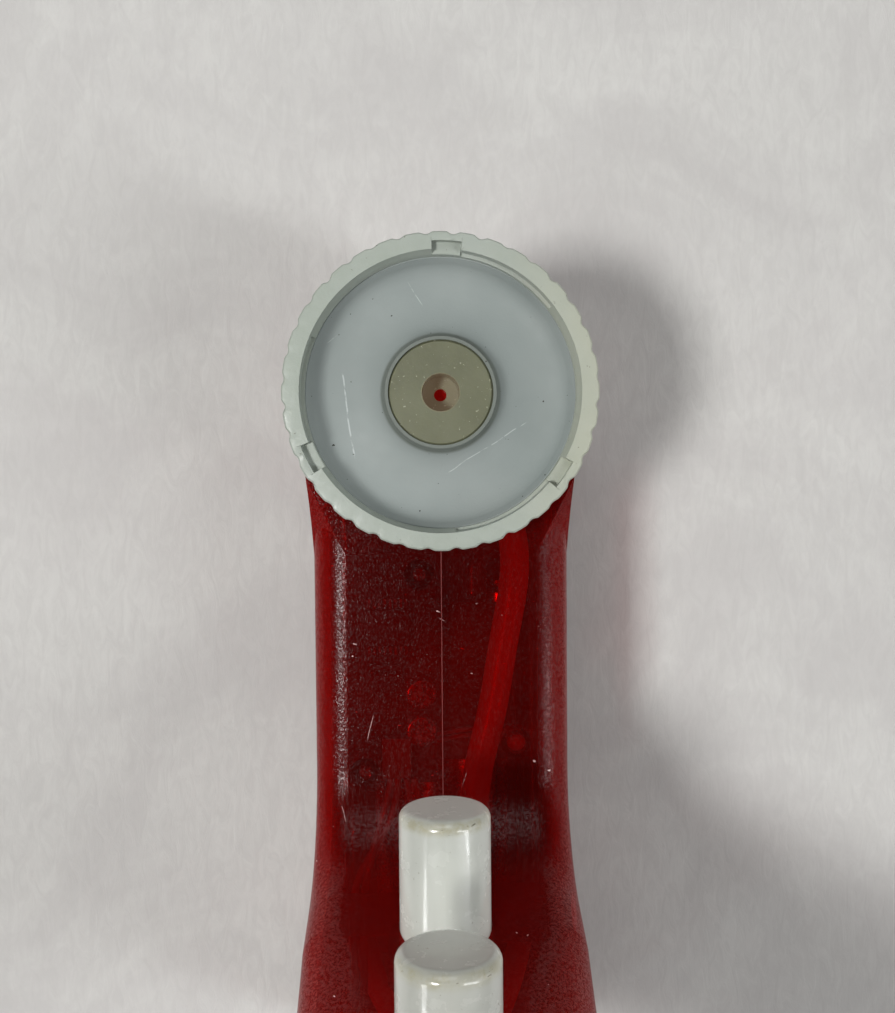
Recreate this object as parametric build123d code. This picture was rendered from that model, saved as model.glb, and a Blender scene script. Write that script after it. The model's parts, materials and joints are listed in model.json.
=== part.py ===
from build123d import *
import math
import os

os.makedirs("parts", exist_ok=True)

# Pistol-grip pipette filler, standing on the flat top of its head with the nosepiece opening
# upwards. All lengths are millimetres. +Z is the way the pipette leaves the nosepiece, the head
# runs back from the nose along +Y, and the handle rises at the back. The origin is the centre
# of the pipette socket's mouth.

# Head and handle
head_width = 41.0
head_height = 44.0
nose_boss_radius = 22.5
flank_radius = 160.0
edge_radius = 5.5
wall = 2.5
rim_height = 1.5
ring_length = 13.5
ring_gap = 0.5
underside_z = rim_height - ring_length - ring_gap
bench_z = underside_z - head_height
handle_rake = 17.5
handle_depth = 42.0
handle_length = 122.0
handle_front_y = 69.8
web_radius = 15.0
saddle_radius = 12.0
rear_y = 124.0

# Nosepiece
ring_radius = 23.0
rim_inner_radius = 20.35
lip_radius = 19.8
flute_count = 36
flute_depth = 0.3
flute_width = 2.0
notch_angles = (-92.7, 145.9, 26.4)
notch_span = 11.7
notch_radius = 21.6
notch_depth = 1.5
ledge_span = 50.0
dish_radius = 20.9
running_gap = 0.1
seal_radius = 7.65
socket_radius = 2.75
socket_depth = 5.5
orifice_radius = 0.95
spigot_radius = 19.05
collar_flange_radius = 21.0
collar_boss_radius = 5.5
filter_radius = 8.9

# Buttons and valves
button_radius = 6.5
button_length = 24.5
button_flange_radius = 7.8
button_flange = 1.5
button_edge = 1.4
button_rows = (("aspirate", 58.9, rim_height + 4.2), ("dispense", 68.4, rim_height + 27.6))
stem_radius = 1.9
spool_radius = 2.9
valve_bore_radius = 3.0
stem_socket_start = 10.0
spring_seat = 14.0
valve_front_gap = 37.5
valve_length = 12.5
valve_bore_depth = 11.2
valve_half_width = 11.0
block_floor_z = -4.0
block_ports = {"nose": (-5.5, 99.8), "vacuum": (-5.5, 105.4), "pressure": (5.5, 102.5)}
spring_radius = 4.0
spring_wire = 0.4
spring_turns = 9

# Hoses
barb_radius = 1.15
barb_bore = 0.75
hose_bore = 1.3
nose_port = (-0.6, 0.8)
nose_port_z = -28.0

# Pump and motor
pump_z = -39.5
pump_width = 26.0
pump_front_y = 34.0
pump_head_length = 9.0
diaphragm_thickness = 2.0
crank_case_length = 16.0
pump_screw_offset = 10.2
pump_port_x = 6.0
pump_port_z = pump_z + 6.5
motor_radius = 12.1
motor_length = 29.0
motor_shaft_radius = 1.15

# Electronics
board = (0.8, 15.6, 25.0, 63.0)
board_z = -21.6
board_thickness = 1.6
board_top = board_z + board_thickness
board_posts = ((3.5, 28.0), (12.5, 60.0))
board_screw_radius = 1.0
lamp = (-12.0, 55.5)
lamp_radius = 1.5

# Cells
cell_radius = 7.1
cell_length = 50.0
cell_pitch = 14.6
cell_start = 58.4

# Speed dial
dial_radius = 9.0
dial_width = 6.0
dial_shaft_radius = 1.5
dial_y = 117.0
dial_z = -38.0

# Screw joints between the halves, and the cap that closes the handle
screw_seat_x = -9.0
shell_screw_radius = 1.25
cap_screw_side = 14.6
cap_screw_radius = 1.1
cap_plug = 2.8
cap_thickness = 3.0
cap_seat = handle_length + 1.5
jack_back = -9.0
jack_radius = 4.4

# Derived positions
rake = math.radians(handle_rake)
half_width = head_width / 2
half_depth = handle_depth / 2
handle_axis_y = handle_front_y + half_depth / math.cos(rake)
diaphragm_y = pump_front_y + pump_head_length
crank_case_y = diaphragm_y + diaphragm_thickness
motor_y = crank_case_y + crank_case_length
motor_back_y = motor_y + motor_length
cap_plug_start = handle_length - cap_plug


# ---------------------------------------------------------------- helpers

def block(x0, x1, y0, y1, z0, z1):
    """Box between two corners."""
    centre = ((x0 + x1) / 2, (y0 + y1) / 2, (z0 + z1) / 2)
    return Pos(*centre) * Box(x1 - x0, y1 - y0, z1 - z0)


def rod(start, end, radius):
    """Solid cylinder from one point to another."""
    start = Vector(*start)
    direction = Vector(*end) - start
    plane = Plane(origin=start, z_dir=direction.normalized())
    return extrude(plane * Circle(radius), amount=direction.length)


def pipe(start, end, radius, bore):
    return rod(start, end, radius) - rod(start, end, bore)


def turned(points):
    """Solid of revolution about Z from radius and height pairs."""
    outline = Polyline([(r, 0, z) for r, z in points], close=True)
    return revolve(make_face(outline), Axis.Z)


def hose(points, radius, bore=0.0):
    """Round hose or wire along a smooth path."""
    path = Spline([Vector(*p) for p in points])
    plane = Plane(origin=path @ 0, z_dir=path % 0)
    outer = sweep(plane * Circle(radius), path)
    if bore:
        outer -= sweep(plane * Circle(bore), path)
    return outer


def handle_plane(distance, back=0.0, side=0.0):
    """Plane square to the handle: Z along the handle, Y towards its back."""
    along = Vector(0, math.sin(rake), math.cos(rake))
    across = Vector(0, math.cos(rake), -math.sin(rake))
    origin = Vector(side, handle_axis_y, underside_z) + along * distance + across * back
    return Plane(origin=origin, x_dir=(1, 0, 0), z_dir=along)


def handle_point(distance, back=0.0, side=0.0):
    return tuple(handle_plane(distance, back, side).origin)


def screw(start, direction, head_radius, head_height, shank_radius, length):
    """Cross-head screw whose head's seat is at start and whose shank runs along direction."""
    plane = Plane(origin=start, z_dir=direction)
    body = extrude(plane * Circle(shank_radius), amount=length)
    body += extrude(plane * Circle(head_radius), amount=-head_height)
    top = plane.offset(-head_height)
    cross = Rectangle(head_radius * 1.2, head_radius * 0.25)
    cross += Rectangle(head_radius * 0.25, head_radius * 1.2)
    return body - extrude(top * cross, amount=head_height * 0.6)


def o_ring(centre, axis, radius, thickness):
    return Plane(origin=centre, z_dir=axis) * Torus(radius, thickness)


# ---------------------------------------------------------------- shells

def head_plan(inset):
    """Head seen from the nose: a round boss, slightly hollow flanks, straight sides."""
    boss = nose_boss_radius - inset
    side = half_width - inset
    flank = flank_radius + inset
    flank_x = side + flank
    join_y = math.sqrt((boss + flank) ** 2 - flank_x ** 2)
    scale = boss / (boss + flank)
    touch = (flank_x * scale, join_y * scale)
    angle = math.atan2(join_y, flank_x) / 2
    middle = (flank_x - flank * math.cos(angle), join_y - flank * math.sin(angle))
    far = 200.0
    mirror_x = lambda p: (-p[0], p[1])
    right = ThreePointArc(touch, middle, (side, join_y))
    left = ThreePointArc(mirror_x((side, join_y)), mirror_x(middle), mirror_x(touch))
    front = ThreePointArc(mirror_x(touch), (0, -boss), touch)
    sides = Polyline((side, join_y), (side, far), (-side, far), (-side, join_y))
    return make_face([right, sides, left, front])


def side_profile(inset):
    """Head and handle seen from the side, as Y and Z, shrunk all round by inset."""
    slope = math.tan(rake)
    front_y = handle_front_y + inset / math.cos(rake)
    back_y = handle_axis_y + half_depth / math.cos(rake) - inset / math.cos(rake)
    top = handle_length + 10.0
    under = underside_z - inset
    front = lambda z: front_y + (z - underside_z) * slope
    back = lambda z: back_y + (z - underside_z) * slope
    nose = -nose_boss_radius - 10.0
    corners = [
        (nose, under, 0.0),
        (front(under), under, web_radius + inset),
        (front(top), top, 0.0),
        (back(top), top, 0.0),
        (back(underside_z), underside_z, saddle_radius + inset),
        (rear_y - inset, underside_z - 21.5, 12.0 - inset),
        (rear_y - 3.0 - inset, bench_z + inset, 10.0 - inset),
        (nose, bench_z + inset, 0.0),
    ]
    points = [(y, z) for y, z, _ in corners]
    radii = [radius for _, _, radius in corners]
    return Plane.YZ * make_face(FilletPolyline(points, radius=radii, close=True))


def is_flank_edge(edge):
    """True for the edges where the flanks meet the side profile."""
    centre = edge.center()
    tangent = edge.tangent_at(0.5)
    crosses = abs(tangent.X) > 0.999 and edge.geom_type == GeomType.LINE
    smooth_seam = abs(tangent.Z) > 0.9999
    cut_end = centre.Z > handle_length and abs(tangent.Z) < 0.1
    return not (crosses or smooth_seam or cut_end)


def handle_section(distance, width, depth, radius, inset):
    outline = RectangleRounded(width - 2 * inset, depth - 2 * inset, radius - inset)
    return handle_plane(distance) * outline


def body_solid(inset, extra=0.0):
    """Whole body as one solid, shrunk by inset; extra lengthens the open end of the handle."""
    root = 13.0
    profile = extrude(side_profile(inset), amount=40.0, both=True)
    plan = extrude(Pos(0, 0, -100) * head_plan(inset), amount=300.0)
    above = extrude(handle_plane(root) * Rectangle(200, 200), amount=400.0)
    body = profile & plan
    body = fillet([e for e in body.edges() if is_flank_edge(e)], edge_radius - inset) - above
    sections = [
        handle_section(root, head_width, handle_depth, edge_radius, inset),
        handle_section(root + 20.0, head_width, handle_depth, 12.0, inset),
        handle_section(root + 60.0, head_width - 1.0, handle_depth - 1.5, 14.0, inset),
        handle_section(handle_length + extra, head_width, handle_depth, 14.0, inset),
    ]
    return body + loft(sections)


def nose_flare():
    """Crisp-edged rim round the nose, falling away in a sloping facet on each side."""
    ridge_start = (half_width - edge_radius - 0.5, 25.5)
    ridge_end = (21.4, 12.0)
    run = Vector(ridge_end[0] - ridge_start[0], ridge_end[1] - ridge_start[1], 0).normalized()
    height = edge_radius + 2.0
    flare = extrude(Pos(0, 0, underside_z - height) * head_plan(0.02), amount=height)
    flare -= block(-30, 30, 36, 210, underside_z - 2 * height, underside_z + 1)
    for side in (1, -1):
        along = Vector(side * run.X, run.Y, 0)
        outward = Vector(side * -run.Y, run.X, 0)
        normal = (outward + Vector(0, 0, 1)).normalized()
        origin = (side * ridge_start[0], ridge_start[1], underside_z)
        facet = Plane(origin=origin, x_dir=along, z_dir=normal)
        flare -= extrude(facet * Rectangle(90, 90), amount=40.0)
    return flare


def front_of_handle(z):
    return handle_front_y + (z - underside_z) * math.tan(rake)


def shell_bosses():
    """Where the halves are screwed together, as Y and Z."""
    end = handle_point(handle_length - 7.3, 8.0)
    spots = [(-12.0, -48.0), (20.0, -48.5), (101.5, -48.5), (81.0, -10.5), (91.5, 17.6)]
    return spots + [(end[1], end[2])]


def shell_blank():
    """Both halves in one piece, with everything that crosses the joint."""
    outer = body_solid(0.0) + nose_flare()
    cavity = body_solid(wall, 2.0)
    extras = Part()
    for y, z in shell_bosses():
        extras += rod((-22, y, z), (22, y, z), 3.2)
        extras += rod((-22, y, z), (screw_seat_x + 1.5, y, z), 4.4)
    for _, tip, z in button_rows:
        extras += rod((0, front_of_handle(z) - 6, z), (0, tip + button_length, z), 8.3)
    for y in (68.0, 84.0):
        rib = block(-22, 22, y, y + 2, bench_z, pump_z + 1.5)
        extras += rib - rod((0, y - 1, pump_z), (0, y + 3, pump_z), motor_radius + 0.05)
    for side in (1, -1):
        start = handle_point(111.0, 0, side * cap_screw_side)
        extras += rod(start, handle_point(cap_plug_start - 0.1, 0, side * cap_screw_side), 3.2)
    for x, y in board_posts:
        extras += rod((x, y, board_z + board_thickness), (x, y, underside_z - 1), 2.5)
    extras += rod((*lamp, -18.0), (*lamp, underside_z - 1), 2.6)
    shell = (outer - cavity) + (extras & body_solid(0.6))
    shell -= rod((*lamp, -18.5), (*lamp, underside_z - wall), lamp_radius + 0.05)
    shell -= rod((0, 0, -17.0), (0, 0, underside_z - wall), collar_flange_radius)
    shell -= rod((0, 0, -17.0), (0, 0, 0), spigot_radius + 0.05)
    for _, tip, z in button_rows:
        end = tip + button_length
        shell -= rod((0, tip - 5, z), (0, end + 1, z), button_radius + running_gap)
    half_slot = dial_width / 2 + 0.4
    shell -= block(-half_slot, half_slot, 111, 130, dial_z - 9.6, dial_z + 9.6)
    for side in (1, -1):
        start = handle_point(111.0, 0, side * cap_screw_side)
        end = handle_point(handle_length, 0, side * cap_screw_side)
        shell -= rod(start, end, cap_screw_radius)
    for x, y in board_posts:
        shell -= rod((x, y, board_z), (x, y, underside_z - wall), board_screw_radius)
    return shell


def shell_halves():
    blank = shell_blank()
    right = blank & block(0, 60, -60, 200, -80, 160)
    left = blank & block(-60, 0, -60, 200, -80, 160)
    for y, z in shell_bosses():
        right -= rod((-1, y, z), (9, y, z), shell_screw_radius)
        left -= rod((-30, y, z), (1, y, z), 1.6)
        left -= rod((-30, y, z), (screw_seat_x, y, z), 3.1)
    return left, right


def shell_screws():
    way = (1, 0, 0)
    seats = [(screw_seat_x, y, z) for y, z in shell_bosses()]
    return [screw(seat, way, 2.8, 2.0, shell_screw_radius, 17.0) for seat in seats]


# ---------------------------------------------------------------- nosepiece

def wedge(start, end, low, high):
    """Tall slice about Z between two angles in degrees."""
    reach = 60.0
    corner = lambda a: (reach * math.cos(math.radians(a)), reach * math.sin(math.radians(a)))
    steps = [start + (end - start) * k / 4 for k in range(5)]
    outline = Polyline([(0, 0)] + [corner(a) for a in steps], close=True)
    return extrude(Pos(0, 0, low) * make_face(outline), amount=high - low)


def knurled_ring():
    low = rim_height - ring_length
    soft = 0.7
    outline = [
        (ring_radius - 0.5, low), (ring_radius, low + 0.5),
        (ring_radius, rim_height - soft), (ring_radius - 0.2, rim_height - 0.2),
        (ring_radius - soft, rim_height), (rim_inner_radius, rim_height),
        (lip_radius, -0.5), (lip_radius, -1.5),
        (dish_radius + running_gap, -1.5), (dish_radius + running_gap, -5.2),
        (spigot_radius + running_gap, -5.2), (spigot_radius + running_gap, low),
    ]
    ring = turned(outline)
    flute_radius = (flute_width ** 2 / 4 + flute_depth ** 2) / (2 * flute_depth)
    centre = ring_radius - flute_depth + flute_radius
    for k in range(flute_count):
        angle = math.radians((k + 0.5) * 360 / flute_count)
        x = centre * math.cos(angle)
        y = centre * math.sin(angle)
        ring -= rod((x, y, low - 1), (x, y, rim_height + 1), flute_radius)
    notch_floor = rim_height - notch_depth
    for angle in notch_angles:
        slice_ = wedge(angle - notch_span / 2, angle + notch_span / 2, notch_floor, 4.0)
        ring -= slice_ & rod((0, 0, -3), (0, 0, 4), notch_radius)
        ledge = wedge(angle - ledge_span, angle, notch_floor - 0.9, notch_floor)
        ring -= ledge & rod((0, 0, -3), (0, 0, 4), lip_radius + 0.8)
    return ring


def nose_dish():
    """Bowl with a steep wall, a round-bottomed floor and a thin-lipped tube in the middle."""
    top = -1.6
    lip_top = 0.2
    point = lambda r, z: (r, 0, z)
    floor = [
        (19.2, -2.6), (17.9, -4.2), (15.5, -4.8), (13.0, -4.5), (10.6, -3.5), (9.0, -2.1),
        (8.35, -0.4),
    ]
    edges = [
        Line(point(dish_radius, top), point(lip_radius - 0.1, top)),
        Line(point(lip_radius - 0.1, top), point(*floor[0])),
        Spline([point(*p) for p in floor]),
        Line(point(*floor[-1]), point(8.1, lip_top)),
    ]
    rear = [
        (8.1, lip_top), (seal_radius, lip_top), (seal_radius, -8.5), (7.0, -8.5), (7.0, -9.0),
        (7.3, -9.0), (7.3, -10.4), (9.25, -10.4), (9.25, -6.2), (11.5, -6.6), (15.5, -6.6),
        (18.4, -5.0), (dish_radius, -5.0), (dish_radius, top),
    ]
    edges += [Line(point(*a), point(*b)) for a, b in zip(rear, rear[1:])]
    return revolve(make_face(edges), Axis.Z)


def pipette_seal():
    floor = -socket_depth
    return turned([
        (seal_radius - 0.3, 0), (socket_radius, 0), (socket_radius, floor),
        (orifice_radius, floor), (orifice_radius, floor - 1.2), (5.7, floor - 1.2),
        (5.7, -8.5), (seal_radius, -8.5), (seal_radius, -0.3),
    ])


def nose_o_ring():
    return o_ring((0, 0, -9.7), (0, 0, 1), 6.4, 0.68)


def nose_collar():
    body = turned([
        (0, -6.95), (collar_boss_radius, -6.95), (collar_boss_radius, -15.0), (16.6, -15.0),
        (16.6, -6.5), (17.2, -6.2), (spigot_radius - 0.4, -6.2), (spigot_radius, -6.6),
        (spigot_radius, -15.0), (collar_flange_radius, -15.0), (collar_flange_radius, -17.0),
        (10.5, -17.0), (10.5, -23.0), (9.0, -23.0), (9.0, -17.0), (0, -17.0),
    ])
    for k in range(3):
        angle = math.radians(30 + 120 * k)
        x = 3.2 * math.cos(angle)
        y = 3.2 * math.sin(angle)
        body -= rod((x, y, -17.5), (x, y, -6), 0.9)
    return body


def filter_membrane():
    return rod((0, 0, -18.4), (0, 0, -17.4), filter_radius)


def filter_retainer():
    cup = turned([
        (filter_radius, -18.4), (7.5, -18.4), (7.5, -22.0), (1.2, -22.0), (1.2, -27.0),
        (0, -27.0), (0, -31.0), (5.0, -31.0), (5.0, -24.5), (10.5, -24.5), (10.5, -23.0),
        (filter_radius, -23.0),
    ])
    start = (nose_port[0] * 3.0, nose_port[1] * 3.0, nose_port_z)
    end = (nose_port[0] * 11.0, nose_port[1] * 11.0, nose_port_z)
    cup += rod(start, end, barb_radius)
    cup -= rod((0, 0, nose_port_z), end, barb_bore)
    cup -= rod((0, 0, -28.8), (0, 0, -22), 1.2)
    return cup


# ---------------------------------------------------------------- buttons and valves

def press_button(tip, z):
    rear = tip + button_length + button_flange
    solid = rod((0, tip, z), (0, rear, z), button_radius)
    front_edge = min(solid.edges(), key=lambda e: e.center().Y)
    solid = fillet(front_edge, button_edge)
    solid += rod((0, tip + button_length, z), (0, rear, z), button_flange_radius)
    solid -= pipe((0, tip + spring_seat, z), (0, rear + 1, z), 4.9, 3.2)
    return solid - rod((0, tip + stem_socket_start, z), (0, rear + 1, z), stem_radius)


def valve_stem(tip, z):
    front = tip + valve_front_gap
    stem = rod((0, tip + stem_socket_start, z), (0, front + 11.0, z), stem_radius)
    for start in (0.8, 2.8, 4.8):
        stem += rod((0, front + start, z), (0, front + start + 0.8, z), spool_radius)
    return stem


def stem_o_rings(tip, z):
    front = tip + valve_front_gap
    centre = (stem_radius + spool_radius) / 2
    return [o_ring((0, front + y, z), (0, 1, 0), centre, 0.48) for y in (2.2, 4.2)]


def return_spring(tip, z):
    start = tip + spring_seat + spring_wire + 0.05
    length = valve_front_gap - spring_seat - 2 * spring_wire - 0.1
    path = Helix(
        pitch=length / spring_turns, height=length, radius=spring_radius,
        center=(0, start, z), direction=(0, 1, 0),
    )
    return sweep(Plane(origin=path @ 0, z_dir=path % 0) * Circle(spring_wire), path)


def slide_switch(tip, z):
    front = tip + valve_front_gap + valve_length
    body = block(-5, 5, front, front + 4.0, z - 4, z + 4)
    body = fillet(body.edges().filter_by(Axis.Y), 0.6)
    return body - rod((0, front - 1, z), (0, front + 3.7, z), 2.0)


def valve_block():
    (_, low_tip, low_z), (_, high_tip, high_z) = button_rows
    step = (low_z + high_z) / 2
    half = valve_half_width
    low_front = low_tip + valve_front_gap
    high_front = high_tip + valve_front_gap
    body = block(-half, half, low_front, low_front + valve_length, block_floor_z, step)
    body += block(-half, half, high_front, high_front + valve_length, step, high_z + 7.6)
    body = chamfer(body.edges().filter_by(Axis.Z), 0.8)
    for _, tip, z in button_rows:
        front = tip + valve_front_gap
        body -= rod((0, front - 1, z), (0, front + valve_bore_depth, z), valve_bore_radius)
        body -= rod((0, front, z), (0, front + 13, z), stem_radius + running_gap)
    for x, y in block_ports.values():
        body -= rod((x, y, block_floor_z - 1), (x, y, block_floor_z + 5), 1.7)
    return body


def hose_barbs():
    barbs = []
    for x, y in block_ports.values():
        seat = block_floor_z
        barb = rod((x, y, seat - 5), (x, y, seat + 4), barb_radius)
        barb += rod((x, y, seat), (x, y, seat + 4), 1.7)
        barb += rod((x, y, seat - 0.8), (x, y, seat), 2.1)
        barbs.append(barb - rod((x, y, seat - 6), (x, y, seat + 5), barb_bore))
    return barbs


# ---------------------------------------------------------------- hoses

def hose_run(start, start_way, points, end, end_way, radius):
    """Hose that runs straight over each barb and curves smoothly between them."""
    start_way = Vector(*start_way).normalized()
    end_way = Vector(*end_way).normalized()
    first = [Vector(*start) + start_way * step for step in (0, 1.5, 3, 4.5)]
    last = [Vector(*end) - end_way * step for step in (4.5, 3, 1.5, 0)]
    path = [tuple(p) for p in first] + points + [tuple(p) for p in last]
    return hose(path, radius, hose_bore)


def nose_tube():
    start = (nose_port[0] * 6.5, nose_port[1] * 6.5, nose_port_z)
    points = [
        (-12.2, 27.9, -20.5), (-10.6, 38.3, -20.5), (-8.0, 52.7, -20.5), (-6.0, 61.0, -20.5),
        (-5.0, 76.0, -21.0), (-5.2, 92.0, -18.0),
    ]
    x, y = block_ports["nose"]
    end = (x, y, block_floor_z - 1)
    return hose_run(start, (*nose_port, 0), points, end, (0, 0, 1), 2.4)


def pump_hose(side, port):
    start = (side * pump_port_x, pump_front_y - 1.0, pump_port_z)
    points = [
        (side * 11.5, 24.5, -33.5), (side * 15.1, 34.0, -34.0), (side * 15.3, 58.0, -34.0),
        (side * 15.1, 84.0, -32.0), (side * 10.5, 99.0, -21.0),
    ]
    x, y = block_ports[port]
    end = (x, y, block_floor_z - 1)
    return hose_run(start, (0, -1, 0), points, end, (0, 0, 1), 2.0)


def vacuum_hose():
    return pump_hose(-1, "vacuum")


def pressure_hose():
    return pump_hose(1, "pressure")


# ---------------------------------------------------------------- pump and motor

def pump_slice(start, end):
    half = pump_width / 2
    body = block(-half, half, start, end, pump_z - half, pump_z + half)
    return fillet(body.edges().filter_by(Axis.Y), 3.0)


def screw_spots():
    offsets = (-pump_screw_offset, pump_screw_offset)
    return [(x, pump_z + z) for x in offsets for z in offsets]


def drill(body):
    for x, z in screw_spots():
        body -= rod((x, pump_front_y - 1, z), (x, pump_front_y + 22, z), 1.2)
    return body


def pump_head():
    body = drill(pump_slice(pump_front_y, diaphragm_y))
    body -= rod((0, diaphragm_y - 3, pump_z), (0, diaphragm_y, pump_z), 9.0)
    for side in (1, -1):
        x, z = side * pump_port_x, pump_port_z
        body += rod((x, pump_front_y - 6, z), (x, pump_front_y, z), barb_radius)
        body -= rod((x, pump_front_y - 7, z), (x, diaphragm_y - 2, z), barb_bore)
    return body


def around_pump(radius, count, start):
    for k in range(count):
        angle = math.radians(start + 360 * k / count)
        yield radius * math.cos(angle), pump_z + radius * math.sin(angle)


def pump_diaphragm():
    body = drill(pump_slice(diaphragm_y, crank_case_y))
    for x, z in around_pump(6.5, 3, 90):
        body += rod((x, crank_case_y, z), (x, crank_case_y + 3.5, z), 3.0)
    return body


def crank_case():
    body = drill(pump_slice(crank_case_y, motor_y))
    body -= rod((0, crank_case_y - 1, pump_z), (0, motor_y - 2, pump_z), 11.6)
    return body - rod((0, motor_y - 3, pump_z), (0, motor_y + 1, pump_z), 3.2)


def wobble_plate():
    start = crank_case_y + 3.5
    body = rod((0, start, pump_z), (0, start + 2, pump_z), 10.0)
    body += rod((0, start, pump_z), (0, start + 4.5, pump_z), 5.0)
    return body - rod((0, start + 2.5, pump_z), (0, start + 5, pump_z), 3.4)


def crank():
    start = crank_case_y + 9.0
    body = rod((0, start, pump_z), (0, start + 4, pump_z), 5.0)
    body += rod((2, start - 2.6, pump_z), (2, start, pump_z), 0.8)
    return body - rod((0, start + 0.2, pump_z), (0, start + 5, pump_z), motor_shaft_radius)


def motor_shaft():
    start = (0, crank_case_y + 9.2, pump_z)
    return rod(start, (0, motor_back_y - 2, pump_z), motor_shaft_radius)


def motor_armature():
    start, end = motor_y + 5, motor_y + 23
    core = rod((0, start, pump_z), (0, end, pump_z), 3.2)
    plane = Plane(origin=(0, start, pump_z), x_dir=(1, 0, 0), z_dir=(0, 1, 0))
    ring = Circle(8.6) - Circle(6.6)
    for k in range(3):
        ring += Rot(0, 0, 120 * k) * (Pos(4.5, 0) * Rectangle(6, 3.4))
    for k in range(3):
        ring -= Rot(0, 0, 120 * k + 60) * (Pos(8, 0) * Rectangle(6, 1.2))
    core += extrude(plane * ring, amount=end - start)
    return core - rod((0, start - 1, pump_z), (0, end + 1, pump_z), motor_shaft_radius)


def motor_magnets():
    start, end = motor_y + 4, motor_y + 24
    shell = pipe((0, start, pump_z), (0, end, pump_z), 11.25, 9.0)
    return shell - block(-2.5, 2.5, start - 1, end + 1, pump_z - 20, pump_z + 20)


def motor_can():
    body = rod((0, motor_y, pump_z), (0, motor_back_y, pump_z), motor_radius)
    body -= rod((0, motor_y + 1.2, pump_z), (0, motor_back_y + 1, pump_z), motor_radius - 0.8)
    body += rod((0, motor_y - 1.8, pump_z), (0, motor_y + 1.2, pump_z), 3.1)
    bearing = rod((0, motor_y - 3, pump_z), (0, motor_y + 3, pump_z), motor_shaft_radius + 0.1)
    return body - bearing


def motor_end_cap():
    plug = motor_radius - 0.85
    body = rod((0, motor_back_y - 1.5, pump_z), (0, motor_back_y, pump_z), plug)
    return body + rod((0, motor_back_y, pump_z), (0, motor_back_y + 3, pump_z), motor_radius)


def motor_terminals():
    y = motor_back_y + 3
    return [block(x - 1.5, x + 1.5, y, y + 3, pump_z - 0.3, pump_z + 0.3) for x in (-4, 4)]


def pump_screws():
    spots = screw_spots()
    return [screw((x, pump_front_y, z), (0, 1, 0), 2.3, 1.6, 1.2, 20.0) for x, z in spots]


# ---------------------------------------------------------------- electronics

def circuit_board():
    x0, x1, y0, y1 = board
    body = block(x0, x1, y0, y1, board_z, board_top)
    for x, y in board_posts:
        body -= rod((x, y, board_z - 1), (x, y, board_top + 1), board_screw_radius)
    return body


def board_screws():
    seats = [(x, y, board_z) for x, y in board_posts]
    return [screw(seat, (0, 0, 1), 1.9, 1.2, board_screw_radius, 5.0) for seat in seats]


def control_chip():
    return chamfer(block(5.2, 12.4, 34, 40, board_top + 0.2, board_top + 1.7).edges(), 0.15)


def chip_pins():
    pins = []
    for k in range(8):
        x = 5.75 + 0.87 * k
        for y0, y1 in ((32.4, 34.0), (40.0, 41.6)):
            pins.append(block(x - 0.2, x + 0.2, y0, y1, board_top, board_top + 0.5))
    return pins


def capacitors():
    cans = []
    for x, y in ((3.4, 47.5), (3.4, 53.5)):
        can = rod((x, y, board_top), (x, y, board_top + 4.2), 2.4)
        cans.append(fillet(can.edges().sort_by(Axis.Z)[-1], 0.4))
    return cans


def pin_header():
    strip = block(6.6, 12.0, 43.2, 45.6, board_top, board_top + 1.6)
    for k in range(5):
        x = 7.3 + k
        strip += block(x - 0.25, x + 0.25, 44.15, 44.65, board_top + 1.6, board_top + 3.6)
    return strip


def wire_socket():
    return block(5.2, 9.8, 55.0, 61.5, board_top, board_top + 2.6)


def lamp_lens():
    x, y = lamp
    body = rod((x, y, -20.2), (x, y, -16.6), lamp_radius)
    return body + Pos(x, y, -16.6) * Sphere(lamp_radius)


def wires():
    z = board_top + 1.3
    cores = []
    for k, x in enumerate((6.2, 7.2)):
        side = 14.2 - 1.5 * k
        cores.append(hose([
            (x + 1.2, 61.9, z), (x + 3.2, 70.0, -17.8), (side, 79.0, -17.0),
            (side, 88.5, -11.0), handle_point(22, 0, side), handle_point(45, -3, side),
            handle_point(56.3, -8, 12.0 - 1.5 * k),
        ], 0.6))
    for k, x in enumerate((5.6, 4.4)):
        terminal = (4, -4)[k]
        cores.append(hose([
            (x + 0.3, 61.9, z), (x - 1.0, 72.0, -18.4), (x - 2.0, 90.0, -20.0),
            (terminal * 0.8, 98.5, -30.0), (terminal, motor_back_y + 6.0, pump_z + 0.3),
        ], 0.5))
    for k in (0, 1):
        x, y = lamp
        cores.append(hose([
            (x + 0.7 - 1.4 * k, y, -20.35), (x + 1.5, y + k, -24.5), (-4, y + k, -25.0),
            (2.5, y + 1 + k, -23.5), (3.4 + k, y + 1 + k, board_z - 0.15),
        ], 0.35))
    return cores


# ---------------------------------------------------------------- cells and handle end

def cells():
    pieces = []
    for index, (side, back) in enumerate(((-1, -1), (1, -1), (1, 1), (-1, 1))):
        x, y = side * cell_pitch / 2, back * cell_pitch / 2
        flip = index % 2
        low = cell_start + (1.0 if flip else 0.0)
        high = cell_start + cell_length - (0.0 if flip else 1.0)
        can = rod(handle_point(low, y, x), handle_point(high, y, x), cell_radius)
        nub_start = cell_start if flip else high
        nub = rod(handle_point(nub_start, y, x), handle_point(nub_start + 1, y, x), 2.7)
        pieces.append(can + nub)
    return pieces


def cell_holder():
    end = cell_start + cell_length
    outline = RectangleRounded(31.6, 29.6, 5.0)
    body = extrude(handle_plane(cell_start - 1.8) * outline, amount=1.3)
    body += extrude(handle_plane(end + 0.5) * outline, amount=1.3)
    for side in (1, -1):
        rail = handle_plane(cell_start - 1.0, 0, side * 15.3) * Rectangle(1.0, 8.0)
        body += extrude(rail, amount=cell_length + 2.0)
    return body


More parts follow.
